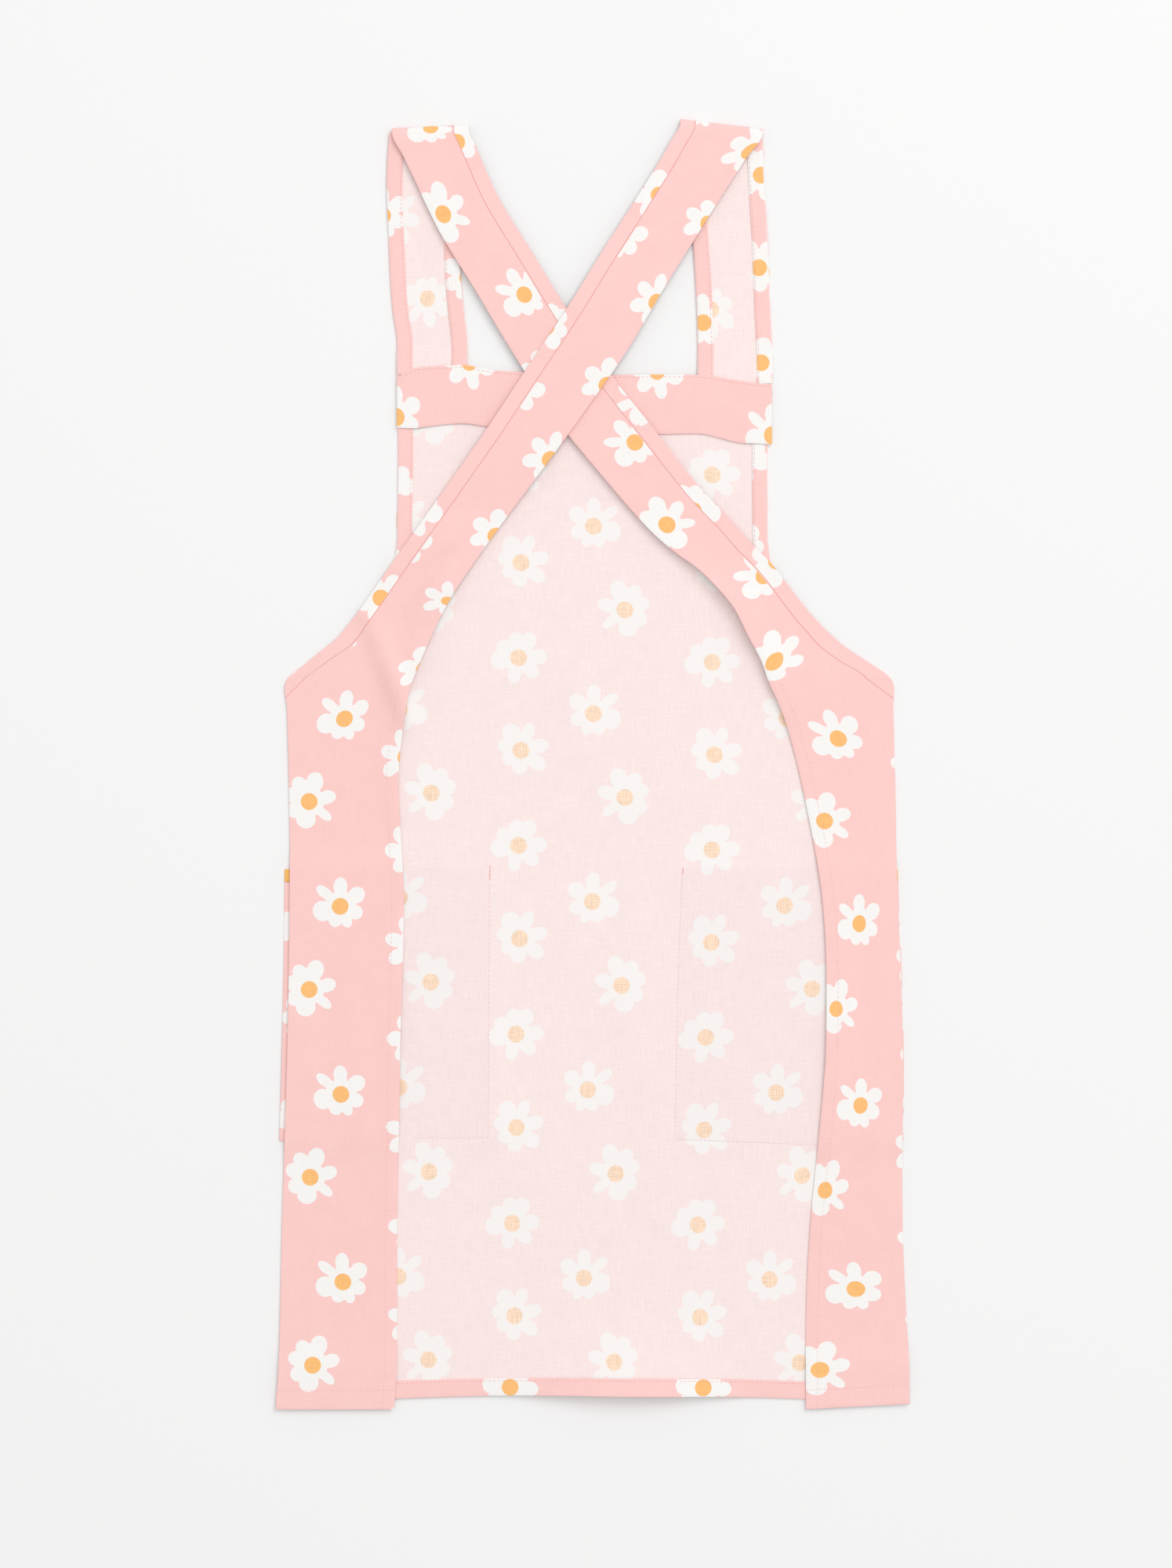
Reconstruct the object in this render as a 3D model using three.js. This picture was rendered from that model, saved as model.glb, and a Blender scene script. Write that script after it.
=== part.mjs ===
// A child's cross back apron, lying front face down with its back up.
// Millimetres. +Y runs from the hem to the shoulders, +X to the right, +Z up off the surface.
import * as THREE from "three";

// Driving sizes
const BODY_LENGTH = 569;      // hem to the top of the bib
const STRAP_RISE = 133;       // top of the bib to the shoulder folds
const SIDE_LENGTH = 399;      // hem to the foot of the armhole
const HEM_WIDTH = 348;
const BIB_WIDTH = 207;
const FLAP_WIDTH = 62;
const STRAP_WIDTH = 39.5;
const STRAP_TUCK = 8;         // strap end sewn in between bib and facing
const STRAP_SETTLED = 3;      // height above the bib at which a strap end is level with its seat
const FACING_DEPTH = 33;
const HEM_DEPTH = 10;
const BIB_HEM_WIDTH = 8;
const STRAP_HEM_WIDTH = 8.8;
const POCKET_WIDTHS = { left: 110.5, right: 119 };
const POCKET_HEIGHT = 149;
const POCKET_RISE = 147;      // hem to the foot of the pocket
const POCKET_OVERHANGS = { left: 3, right: 0.5 };  // pocket edges that stand out past the side seams
const TRIM_WIDTH = 7;
const CLOTH = 1;
const LAYER_GAP = 0.3;

// How the cloth lies
const HEM_ARCH = 8;           // middle of the front hem, drawn up from the line of the flaps
const HEM_ARCH_AT_SIDES = 3;
const FLAP_HEM_RISE = { left: 0, right: 3 };  // outer corners of the flaps' hems
const HEM_LIFT = 3;           // and raised off the surface
const EDGE_LIFT = 5;          // back edge of a flap, raised where it runs into its strap
const EDGE_WAVE = 1;
const DRAPE = 14;             // run in which cloth settles beside what lies under it
const HEM_CLEARANCE = 2;      // bib hems end this far below the strap ends
const SEAM_SETBACK = 0.5;     // hems and facing, back from the edge that they finish
const ARMHOLE_SETBACK = 2;    // front armhole, back from the flap's armhole
const FACET = 16;             // longest facet along a panel
const FLAP_FACETS = 7;        // facets across a flap and its strap
const FOLD_TURNS = 6;         // facets round a shoulder fold
const FACING_FACETS = { across: 22, down: 4 };

const STEP = CLOTH + LAYER_GAP;
const MID = CLOTH / 2;
const HALF_HEM = HEM_WIDTH / 2;
const HALF_BIB = BIB_WIDTH / 2;

// Side outline: up in shares of the side length, left and right in shares of half the hem
const SIDE_ROWS = [
  { up: 0, left: -0.972, right: 1.026 },
  { up: 0.06, left: -0.962, right: 1.023 },
  { up: 0.25, left: -0.952, right: 1.004 },
  { up: 0.51, left: -0.934, right: 1.004 },
  { up: 0.74, left: -0.927, right: 0.986 },
  { up: 0.86, left: -0.93, right: 0.981 },
  { up: 1, left: -0.939, right: 0.972 },
];

// Sides of the bib: at in shares of the body length, the rest in shares of half the bib
const BIB_ROWS = [
  { at: 0.8, left: -1, right: 0.98 },
  { at: 0.87, left: -0.992, right: 0.975 },
  { at: 0.93, left: -0.988, right: 0.975 },
  { at: 1, left: -0.996, right: 1 },
];

// Flap widths as they lie: up in shares of the side length, the rest in shares of the flap width
const FLAP_ROWS = [
  { up: 0, left: 1.05, right: 0.92 },
  { up: 0.1, left: 1.04, right: 0.9 },
  { up: 0.25, left: 1.02, right: 0.82 },
  { up: 0.38, left: 1.01, right: 0.74 },
  { up: 0.51, left: 1, right: 0.68 },
  { up: 0.7, left: 1.01, right: 0.67 },
  { up: 0.86, left: 0.97, right: 0.83 },
  { up: 0.95, left: 1.04, right: 0.97 },
  { up: 1, left: 1.12, right: 1.1 },
];

// Armhole, from the side corner to the first strap row: shares of the way there,
// for the armhole edge and the back edge; over counts the layers of cloth beneath
const ARMHOLE_ROWS = {
  left: [
    { armX: 0.21, armY: 0.17, backX: 0.24, backY: 0.28, over: 1 },
    { armX: 0.47, armY: 0.36, backX: 0.51, backY: 0.56, over: 1.1 },
    { armX: 0.71, armY: 0.63, backX: 0.76, backY: 0.8, over: 1.6 },
  ],
  right: [
    { armX: 0.18, armY: 0.15, backX: 0.12, backY: 0.2, over: 1 },
    { armX: 0.4, armY: 0.3, backX: 0.32, backY: 0.42, over: 1.1 },
    { armX: 0.67, armY: 0.57, backX: 0.56, backY: 0.7, over: 1.6 },
  ],
};

// Back run of each strap: x in shares of half the bib, at as heightAt reads it,
// lean of the row in degrees below the level, wide in shares of the strap width
const STRAP_ROWS = {
  left: [
    { x: -0.844, at: 0.803, lean: 28, wide: 0.95, over: 2.4 },
    { x: -0.624, at: 0.86, lean: 32, wide: 0.93, over: 2.7 },
    { x: -0.357, at: 0.927, lean: 35, wide: 0.96, over: 4.3 },
    { x: -0.162, at: 0.978, lean: 34, wide: 1, over: 4.4 },
    { x: 0.071, at: 1.172, lean: 34, wide: 1.02, over: 4.4 },
    { x: 0.249, at: 1.401, lean: 32, wide: 1, over: 4.2 },
    { x: 0.427, at: 1.621, lean: 30, wide: 0.99, over: 3.6 },
    { x: 0.593, at: 1.827, lean: 22, wide: 1.01, over: 3.2 },
    { x: 0.728, at: 2, lean: 7, wide: 1.15, over: 3 },
  ],
  right: [
    { x: 0.815, at: 0.809, lean: 12, wide: 0.92, over: 2.3 },
    { x: 0.734, at: 0.823, lean: 20, wide: 0.87, over: 2.4 },
    { x: 0.637, at: 0.84, lean: 36, wide: 0.87, over: 2.6 },
    { x: 0.492, at: 0.865, lean: 41, wide: 0.91, over: 3 },
    { x: 0.207, at: 0.927, lean: 38, wide: 0.97, over: 3.2 },
    { x: 0.002, at: 0.974, lean: 38, wide: 0.98, over: 3.2 },
    { x: -0.243, at: 1.176, lean: 34, wide: 0.96, over: 3.2 },
    { x: -0.421, at: 1.405, lean: 32, wide: 0.95, over: 3.1 },
    { x: -0.612, at: 1.649, lean: 31, wide: 0.95, over: 3 },
    { x: -0.716, at: 1.822, lean: 17, wide: 0.97, over: 3 },
    { x: -0.815, at: 1.99, lean: 3, wide: 1.06, over: 3 },
  ],
};

// Front run, from the shoulder fold down to the bib
const FRONT_STRAP_ROWS = {
  left: [
    { x: 0.734, at: 1.94, wide: 1.13 },
    { x: 0.747, at: 1.838, wide: 1.08 },
    { x: 0.776, at: 1.515, wide: 1.05 },
    { x: 0.793, at: 1.236, wide: 1.03 },
  ],
  right: [
    { x: -0.829, at: 1.93, wide: 1.09 },
    { x: -0.843, at: 1.838, wide: 1.06 },
    { x: -0.846, at: 1.515, wide: 1 },
    { x: -0.824, at: 1.236, wide: 1 },
  ],
};
// The straps cross, so the left panel's strap comes down on the right of the bib
const CROSSED = { left: "right", right: "left" };
const STRAP_FOOT = {
  left: { x: 0.8, wide: 1.05 },
  right: { x: -0.805, wide: 0.99 },
};

// Facing: across in shares of half the bib, the rest in shares of the facing depth:
// drop of its top edge below the bib's height, depth of its loose lower edge; over counts layers
const FACING_ROWS = [
  { across: -1, drop: 0.1, deep: 0.94, over: 2 },
  { across: -0.9, drop: -0.05, deep: 0.95, over: 2 },
  { across: -0.78, drop: -0.08, deep: 0.9, over: 1.5 },
  { across: -0.63, drop: -0.1, deep: 0.87, over: 1.8 },
  { across: -0.5, drop: -0.02, deep: 0.93, over: 1.4 },
  { across: 0, drop: 0.06, deep: 1, over: 1.3 },
  { across: 0.4, drop: 0.06, deep: 1.05, over: 1.3 },
  { across: 0.64, drop: 0.07, deep: 1.05, over: 1.6 },
  { across: 0.8, drop: 0.15, deep: 1.18, over: 1.4 },
  { across: 0.9, drop: 0.19, deep: 1.2, over: 2 },
  { across: 1, drop: 0.22, deep: 1.22, over: 2 },
];
const FACING_SETTLED = 0.35;  // share of the facing's depth that lies level over the strap ends
const DROP_SETTLES = 3;       // facing depths below the bib's top at which its rows are level again

// Run of the hem that is raised, in shares of the front's width
const HEM_LIFT_RUN = { from: 0.28, to: 0.84 };

// Raised back edges: lift in shares of the edge lift, the run in shares of the side length
const EDGE_LIFTS = {
  left: { lift: 0.3, from: 0.9, to: 1.2 },
  right: { lift: 1, from: 0.88, to: 1.28 },
};
const EDGE_WAVES = 3;         // waves along the back edge of each flap

const clamp01 = (value) => Math.min(1, Math.max(0, value));
const mix = (from, to, share) => from + (to - from) * share;
const bell = (value, from, to) => Math.sin(Math.PI * clamp01((value - from) / (to - from))) ** 2;

// Height of a share: 0 at the hem, 1 at the top of the bib, 2 at the shoulder folds
function heightAt(share) {
  return BODY_LENGTH * Math.min(share, 1) + STRAP_RISE * Math.max(share - 1, 0);
}

// A smooth reading between the rows of a table
function readRows(rows, key, at, column) {
  let index = 0;
  while (index < rows.length - 2 && at > rows[index + 1][key]) index += 1;
  const [low, high] = [rows[index], rows[index + 1]];
  const before = rows[Math.max(index - 1, 0)];
  const after = rows[Math.min(index + 2, rows.length - 1)];
  const span = high[key] - low[key];
  const share = clamp01((at - low[key]) / span);
  const slopeLow = (high[column] - before[column]) / (high[key] - before[key]) * span;
  const slopeHigh = (after[column] - low[column]) / (after[key] - low[key]) * span;
  const square = share * share;
  const cube = square * share;
  return (2 * cube - 3 * square + 1) * low[column] + (cube - 2 * square + share) * slopeLow
    + (3 * square - 2 * cube) * high[column] + (cube - square) * slopeHigh;
}

// Every stop, with enough values between them that no step is longer than the one given
function spread(stops, longest) {
  const values = [stops[0]];
  for (let index = 1; index < stops.length; index += 1) {
    const [from, to] = [stops[index - 1], stops[index]];
    const count = Math.max(1, Math.ceil((to - from) / longest - 1e-6));
    for (let part = 1; part <= count; part += 1) values.push(mix(from, to, part / count));
  }
  return values;
}

// A closed sheet of cloth round a grid of points in the middle of its thickness
function sheet(name, grid, material) {
  const rows = grid.length;
  const columns = grid[0].length;
  const positions = [];
  for (const side of [1, -1]) {
    for (let row = 0; row < rows; row += 1) {
      for (let column = 0; column < columns; column += 1) {
        const across = grid[row][Math.min(column + 1, columns - 1)].clone()
          .sub(grid[row][Math.max(column - 1, 0)]);
        const along = grid[Math.min(row + 1, rows - 1)][column].clone()
          .sub(grid[Math.max(row - 1, 0)][column]);
        const offset = across.cross(along).normalize().multiplyScalar(side * MID);
        positions.push(...grid[row][column].clone().add(offset).toArray());
      }
    }
  }
  const top = (row, column) => row * columns + column;
  const under = (row, column) => rows * columns + row * columns + column;
  const faces = [];
  const quad = (a, b, c, d) => faces.push(a, b, c, a, c, d);
  for (let row = 0; row < rows - 1; row += 1) {
    for (let column = 0; column < columns - 1; column += 1) {
      quad(top(row, column), top(row, column + 1), top(row + 1, column + 1), top(row + 1, column));
      quad(under(row, column), under(row + 1, column), under(row + 1, column + 1),
        under(row, column + 1));
    }
    quad(under(row + 1, 0), under(row, 0), top(row, 0), top(row + 1, 0));
    const last = columns - 1;
    quad(under(row, last), under(row + 1, last), top(row + 1, last), top(row, last));
  }
  for (let column = 0; column < columns - 1; column += 1) {
    quad(under(0, column), under(0, column + 1), top(0, column + 1), top(0, column));
    const last = rows - 1;
    quad(under(last, column + 1), under(last, column), top(last, column), top(last, column + 1));
  }
  const geometry = new THREE.BufferGeometry();
  geometry.setAttribute("position", new THREE.Float32BufferAttribute(positions, 3));
  geometry.setIndex(faces);
  geometry.computeVertexNormals();
  const mesh = new THREE.Mesh(geometry, material);
  mesh.name = name;
  return mesh;
}

const cloth = (colour) => new THREE.MeshStandardMaterial({
  color: colour, roughness: 0.92, metalness: 0, side: THREE.DoubleSide,
});
const printedSide = cloth(0xfdcecb);
const wrongSide = cloth(0xfae6e5);
const mustard = cloth(0xf5be6e);

// Outline of the side at a height, on the left or the right
const sideAt = (side, height) => HALF_HEM * readRows(SIDE_ROWS, "up", height / SIDE_LENGTH, side);
const flapAt = (side, height) => FLAP_WIDTH * readRows(FLAP_ROWS, "up", height / SIDE_LENGTH, side);

// Heights that the front and the flaps share, so that their facets lie along each other
const pocketTop = POCKET_RISE + POCKET_HEIGHT;
const settled = HEM_DEPTH + DRAPE;
const LEVELS = spread([0, HEM_DEPTH, settled, settled + DRAPE, POCKET_RISE - DRAPE, POCKET_RISE,
  pocketTop - TRIM_WIDTH - LAYER_GAP, pocketTop - TRIM_WIDTH, pocketTop, pocketTop + DRAPE,
  SIDE_LENGTH], FACET);

// Columns of the front, in shares of its width, with a line on each pocket's inner edge
const skirtMiddle = POCKET_RISE + POCKET_HEIGHT / 2;
const skirtWidth = sideAt("right", skirtMiddle) - sideAt("left", skirtMiddle);
const drapeShare = DRAPE / skirtWidth;
const leftPocket = POCKET_WIDTHS.left / skirtWidth;
const rightPocket = 1 - POCKET_WIDTHS.right / skirtWidth;
const COLUMNS = spread([0, leftPocket, leftPocket + drapeShare, rightPocket - drapeShare,
  rightPocket, 1], FACET / skirtWidth);

// How far the front is raised by the pockets beneath it
function overPockets(share, height) {
  const inwards = Math.min(share - leftPocket, rightPocket - share);
  const beside = clamp01(1 - inwards / drapeShare);
  const above = clamp01(1 - (height - pocketTop) / DRAPE);
  const below = clamp01(1 - (POCKET_RISE - height) / DRAPE);
  return STEP * beside * Math.min(above, below);
}

// The hem's middle is drawn up and raised off the surface
const archSettles = POCKET_RISE - DRAPE;
const hemArch = (share, height) => mix(HEM_ARCH_AT_SIDES, HEM_ARCH,
  Math.sin(Math.PI * clamp01(share))) * clamp01(1 - height / archSettles);
const hemLift = (share, height) => HEM_LIFT * bell(share, HEM_LIFT_RUN.from, HEM_LIFT_RUN.to)
  * clamp01(1 - height / archSettles) ** 3;

// The two edges of a back panel, row by row, from the hem to the shoulder fold
function strapRow(row) {
  const centre = new THREE.Vector2(HALF_BIB * row.x, heightAt(row.at));
  const half = STRAP_WIDTH * row.wide / 2;
  return { centre, half };
}

function backRows(side) {
  const outward = side === "left" ? -1 : 1;
  const flap = LEVELS.map((height) => {
    const hemRise = FLAP_HEM_RISE[side] * clamp01(1 - height / archSettles);
    const arm = new THREE.Vector2(sideAt(side, height), height + hemRise);
    const back = new THREE.Vector2(arm.x - outward * flapAt(side, height), height);
    const overHem = clamp01(1 - (height - settled) / DRAPE);
    return { arm, back, rise: STEP * (1 + overHem) + overPockets(0, height) };
  });
  const corner = flap.at(-1);
  const strap = STRAP_ROWS[side].map((row) => {
    const { centre, half } = strapRow(row);
    const lean = THREE.MathUtils.degToRad(row.lean);
    const reach = new THREE.Vector2(-outward * Math.cos(lean), -Math.sin(lean)).multiplyScalar(half);
    return { arm: centre.clone().sub(reach), back: centre.clone().add(reach), rise: STEP * row.over };
  });
  const armhole = ARMHOLE_ROWS[side].map((row) => ({
    arm: new THREE.Vector2(mix(corner.arm.x, strap[0].arm.x, row.armX),
      mix(corner.arm.y, strap[0].arm.y, row.armY)),
    back: new THREE.Vector2(mix(corner.back.x, strap[0].back.x, row.backX),
      mix(corner.back.y, strap[0].back.y, row.backY)),
    rise: STEP * row.over,
  }));
  const upper = smoothRows([corner, ...armhole, ...strap]);
  return [...flap.slice(0, -1), ...upper];
}

// Rows on smooth curves through the edges of the given rows
function smoothRows(rows) {
  const flat = (point) => new THREE.Vector3(point.x, point.y, 0);
  const armEdge = new THREE.CatmullRomCurve3(rows.map((row) => flat(row.arm)), false, "centripetal");
  const backEdge = new THREE.CatmullRomCurve3(rows.map((row) => flat(row.back)), false, "centripetal");
  const smooth = [];
  const last = rows.length - 1;
  for (let index = 0; index < last; index += 1) {
    const length = rows[index].arm.distanceTo(rows[index + 1].arm);
    const count = Math.max(1, Math.ceil(length / FACET));
    for (let part = 0; part < count; part += 1) {
      const at = (index + part / count) / last;
      smooth.push({
        arm: armEdge.getPoint(at),
        back: backEdge.getPoint(at),
        rise: mix(rows[index].rise, rows[index + 1].rise, part / count),
      });
    }
  }
  smooth.push(rows[last]);
  return smooth;
}

// Raised back edge and its small waves; share runs from the armhole edge to the back edge
function edgeLift(side, share, height) {
  const up = height / SIDE_LENGTH;
  const { lift, from, to } = EDGE_LIFTS[side];
  const lifted = lift * bell(up, from, to);
  const waves = bell(up, 0, 1) * Math.sin(Math.PI * EDGE_WAVES * up) ** 2;
  return share ** 2 * (EDGE_LIFT * lifted + EDGE_WAVE * waves);
}

function backPanel(side) {
  const rows = backRows(side);
  const onLeft = side === "left";
  const shares = spread([0, 1], 1 / FLAP_FACETS);
  if (!onLeft) shares.reverse();
  const grid = rows.map((row) => shares.map((share) => new THREE.Vector3(
    mix(row.arm.x, row.back.x, share),
    mix(row.arm.y, row.back.y, share),
    MID + row.rise + edgeLift(side, share, row.arm.y),
  )));
  const front = frontStrapRows(side);
  const foldLine = grid.at(-1);
  const radius = (foldLine[0].z - MID) / 2;
  for (let turn = 1; turn <= FOLD_TURNS; turn += 1) {
    const angle = Math.PI * turn / FOLD_TURNS;
    grid.push(foldLine.map((point) => new THREE.Vector3(
      point.x, point.y + radius * Math.sin(angle), MID + radius * (1 + Math.cos(angle)))));
  }
  for (const row of front) grid.push(strapPoints(row, foldLine.length));
  return sheet(`back_panel_${side}`, grid, printedSide);
}

// Drop of the bib's top edge at a share of half the bib
const topDrop = (across) => FACING_DEPTH * readRows(FACING_ROWS, "across", across, "drop");

// Front run of a strap: centre, half width and rise at each row, down to its sewn-in end
function frontStrapRows(side) {
  const foot = STRAP_FOOT[side];
  const seat = BODY_LENGTH - topDrop(foot.x);
  const rows = FRONT_STRAP_ROWS[side].map((row) => ({ ...strapRow(row), rise: 0 }));
  for (const [above, rise] of [[DRAPE, 0], [STRAP_SETTLED, STEP], [-STRAP_TUCK, STEP]]) {
    rows.push({
      centre: new THREE.Vector2(HALF_BIB * foot.x, seat + above),
      half: STRAP_WIDTH * foot.wide / 2,
      rise,
    });
  }
  return rows;
}

function strapPoints(row, count, from = -1, to = 1, raised = 0) {
  return spread([0, 1], 1 / (count - 1)).map((share) => new THREE.Vector3(
    row.centre.x + row.half * mix(from, to, share), row.centre.y, MID + row.rise + raised));
}

// Turned-in hem along one edge of a front strap, on the cloth's wrong side
function strapHem(side, edge) {
  const nearCentre = edge === "neck";
  const onLeft = side === "left";
  const sign = nearCentre === onLeft ? 1 : -1;
  const grid = frontStrapRows(CROSSED[side]).slice(0, -1).map((row) => {
    const outer = sign * (1 - SEAM_SETBACK / row.half);
    const inner = sign * (1 - STRAP_HEM_WIDTH / row.half);
    return strapPoints(row, 2, Math.min(outer, inner), Math.max(outer, inner), STEP).reverse();
  });
  return sheet(`strap_hem_${side}_${edge}`, grid, printedSide);
}

// The armhole edges that the front lies under
const armholeEdge = {};
for (const side of ["left", "right"]) {
  armholeEdge[side] = backRows(side).map((row) => row.arm)
    .filter((point) => point.y >= SIDE_LENGTH && point.y <= heightAt(STRAP_ROWS[side][0].at) + DRAPE);
}

// Edges of the front at a height: side seam, armhole, then the side of the bib
function frontEdge(side, height) {
  if (height <= SIDE_LENGTH) return sideAt(side, height);
  const inward = side === "left" ? 1 : -1;
  const bib = HALF_BIB * readRows(BIB_ROWS, "at", height / BODY_LENGTH, side);
  const rows = armholeEdge[side];
  let index = 1;
  while (index < rows.length && rows[index].y < height) index += 1;
  if (index === rows.length) return bib;
  const [low, high] = [rows[index - 1], rows[index]];
  const arm = mix(low.x, high.x, (height - low.y) / (high.y - low.y)) + inward * ARMHOLE_SETBACK;
  return inward > 0 ? Math.min(arm, bib) : Math.max(arm, bib);
}

function frontPoint(share, height, raised = 0) {
  const left = frontEdge("left", height);
  const right = frontEdge("right", height);
  const nearTop = clamp01(1 - (BODY_LENGTH - height) / (DROP_SETTLES * FACING_DEPTH));
  return new THREE.Vector3(mix(left, right, share),
    height + hemArch(share, height) - nearTop * topDrop(2 * share - 1),
    MID + overPockets(share, height) + hemLift(share, height) + raised);
}

function frontPanel() {
  const upper = spread([SIDE_LENGTH, BODY_LENGTH], FACET).slice(1);
  const grid = [...LEVELS, ...upper].map((height) =>
    COLUMNS.map((share) => frontPoint(share, height)));
  return sheet("front_panel", grid, wrongSide);
}

function frontHem() {
  const inset = SEAM_SETBACK / skirtWidth;
  const shares = [inset, ...COLUMNS.slice(1, -1), 1 - inset];
  const grid = LEVELS.filter((height) => height <= HEM_DEPTH)
    .map((height) => shares.map((share) => frontPoint(share, height, STEP)));
  return sheet("front_hem", grid, printedSide);
}

// A pocket, or the binding of its mouth, flat on the surface under the front
function pocketPiece(name, side, from, to, material) {
  const onLeft = side === "left";
  const shares = COLUMNS.filter((share) => (onLeft ? share < leftPocket + 1e-6
    : share > rightPocket - 1e-6));
  const levels = LEVELS.filter((height) => height >= from - 1e-6 && height <= to + 1e-6);
  const grid = levels.map((height) => shares.map((share) => {
    const inwards = Math.min(share, 1 - share) > 0;
    const overhang = inwards ? 0 : (onLeft ? -1 : 1) * POCKET_OVERHANGS[side];
    const x = mix(frontEdge("left", height), frontEdge("right", height), share);
    return new THREE.Vector3(x + overhang, height, MID);
  }));
  return sheet(name, grid, material);
}

function bibHem(side) {
  const inward = side === "left" ? 1 : -1;
  const foot = heightAt(STRAP_ROWS[side][0].at);
  const strapEnd = BODY_LENGTH - topDrop(STRAP_FOOT[CROSSED[side]].x) - STRAP_TUCK;
  const levels = spread([foot, strapEnd - HEM_CLEARANCE], FACET);
  const grid = levels.map((height) => {
    const edge = frontEdge(side, height) + inward * SEAM_SETBACK;
    const xs = [edge, edge + inward * BIB_HEM_WIDTH].sort((a, b) => a - b);
    return xs.map((x) => new THREE.Vector3(x, height, MID + STEP));
  });
  return sheet(`bib_hem_${side}`, grid, printedSide);
}

function bibFacing() {
  const shares = spread([-1, 1], 2 / FACING_FACETS.across);
  const downs = spread([0, 1], 1 / FACING_FACETS.down).reverse();
  const left = frontEdge("left", BODY_LENGTH) + SEAM_SETBACK;
  const right = frontEdge("right", BODY_LENGTH) - SEAM_SETBACK;
  const grid = downs.map((down) => shares.map((share) => {
    const deep = FACING_DEPTH * readRows(FACING_ROWS, "across", share, "deep");
    const over = readRows(FACING_ROWS, "across", share, "over");
    const sink = THREE.MathUtils.smoothstep(down, FACING_SETTLED, 1);
    return new THREE.Vector3(mix(left, right, (share + 1) / 2),
      BODY_LENGTH - mix(topDrop(share), deep, down),
      MID + STEP * mix(2, over, sink));
  }));
  return sheet("bib_facing", grid, printedSide);
}

const apron = new THREE.Group();
const front = new THREE.Group();
front.add(frontPanel(), frontHem(), bibFacing(), bibHem("left"), bibHem("right"));
for (const side of ["left", "right"]) {
  const cut = pocketTop - TRIM_WIDTH;
  front.add(pocketPiece(`pocket_${side}`, side, POCKET_RISE, cut - LAYER_GAP, wrongSide));
  front.add(pocketPiece(`pocket_trim_${side}`, side, cut, pocketTop, mustard));
}
const back = new THREE.Group();
back.add(backPanel("left"), backPanel("right"));
for (const side of ["left", "right"]) back.add(strapHem(side, "neck"), strapHem(side, "arm"));
apron.add(front, back);

// The origin is under the middle of the whole apron, on the surface that it lies on
const bounds = new THREE.Box3().setFromObject(apron, true);
const middle = bounds.getCenter(new THREE.Vector3());
apron.position.set(-middle.x, -middle.y, -bounds.min.z);
apron.updateMatrixWorld(true);

export default apron;
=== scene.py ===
# %% [markdown]
# # A child's cross back apron, lying on its front
#
# The apron is printed linen: a front with a bib, two back flaps that run on into crossed straps,
# and two patch pockets. It lies face down, so the pale wrong side of the front looks up at us.
# The frame already holds every piece at its true size. Here each becomes cloth.

# %% Load the frame
import math

import bmesh
import bpy
from mathutils import Matrix, Vector, noise
from mathutils.bvhtree import BVHTree


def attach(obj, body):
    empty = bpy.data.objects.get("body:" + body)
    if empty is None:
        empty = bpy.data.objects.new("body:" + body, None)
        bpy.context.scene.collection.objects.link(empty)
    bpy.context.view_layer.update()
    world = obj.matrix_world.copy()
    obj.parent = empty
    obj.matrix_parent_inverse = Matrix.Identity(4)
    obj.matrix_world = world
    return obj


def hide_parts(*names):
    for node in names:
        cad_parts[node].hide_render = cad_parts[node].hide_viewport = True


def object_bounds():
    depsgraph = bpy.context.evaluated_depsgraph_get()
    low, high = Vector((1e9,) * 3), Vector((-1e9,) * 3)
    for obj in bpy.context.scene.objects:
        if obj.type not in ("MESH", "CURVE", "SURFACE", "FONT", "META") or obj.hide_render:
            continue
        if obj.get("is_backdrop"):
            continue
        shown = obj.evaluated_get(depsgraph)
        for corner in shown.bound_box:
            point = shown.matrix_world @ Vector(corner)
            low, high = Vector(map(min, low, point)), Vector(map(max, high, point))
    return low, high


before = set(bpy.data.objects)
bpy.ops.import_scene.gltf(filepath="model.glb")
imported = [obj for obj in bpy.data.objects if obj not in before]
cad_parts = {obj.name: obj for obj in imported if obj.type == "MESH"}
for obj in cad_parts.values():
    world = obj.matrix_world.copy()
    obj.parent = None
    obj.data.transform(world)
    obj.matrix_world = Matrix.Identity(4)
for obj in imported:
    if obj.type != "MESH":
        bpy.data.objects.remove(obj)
cad_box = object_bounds()
MM = 0.001
UP = Vector((0, 0, 1))
print("CAD box in metres:", cad_box)

# %% [markdown]
# ## Floor, camera and light
#
# The photograph looks straight down on a white table, through a long lens far away. One large
# soft lamp stands above and to the right, a still larger one hangs overhead, and a bright room
# fills the shadows.

# %% Floor, camera and light
FRAME_HEIGHT = 860 * MM
VIEW_CENTRE = Vector((-3.6 * MM, -10.9 * MM, 0))
LENS = 100
SENSOR = 36
FLOOR_DROP = 0.1 * MM
ROOM_COLOUR = (1, 0.995, 0.99, 1)
ROOM_LIGHT = 0.66


def add_object(name, data):
    """A new object in the scene. A mesh that is still being made is finished first."""
    if isinstance(data, bmesh.types.BMesh):
        mesh, data = data, bpy.data.meshes.new(name)
        mesh.to_mesh(data)
        mesh.free()
    made = bpy.data.objects.new(name, data)
    bpy.context.collection.objects.link(made)
    return made


camera_data = bpy.data.cameras.new("camera")
camera_data.lens = LENS
camera_data.sensor_fit = "VERTICAL"
camera_data.sensor_height = SENSOR
camera = add_object("camera", camera_data)
camera.location = VIEW_CENTRE + Vector((0, 0, FRAME_HEIGHT * LENS / SENSOR))
bpy.context.scene.camera = camera

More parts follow.
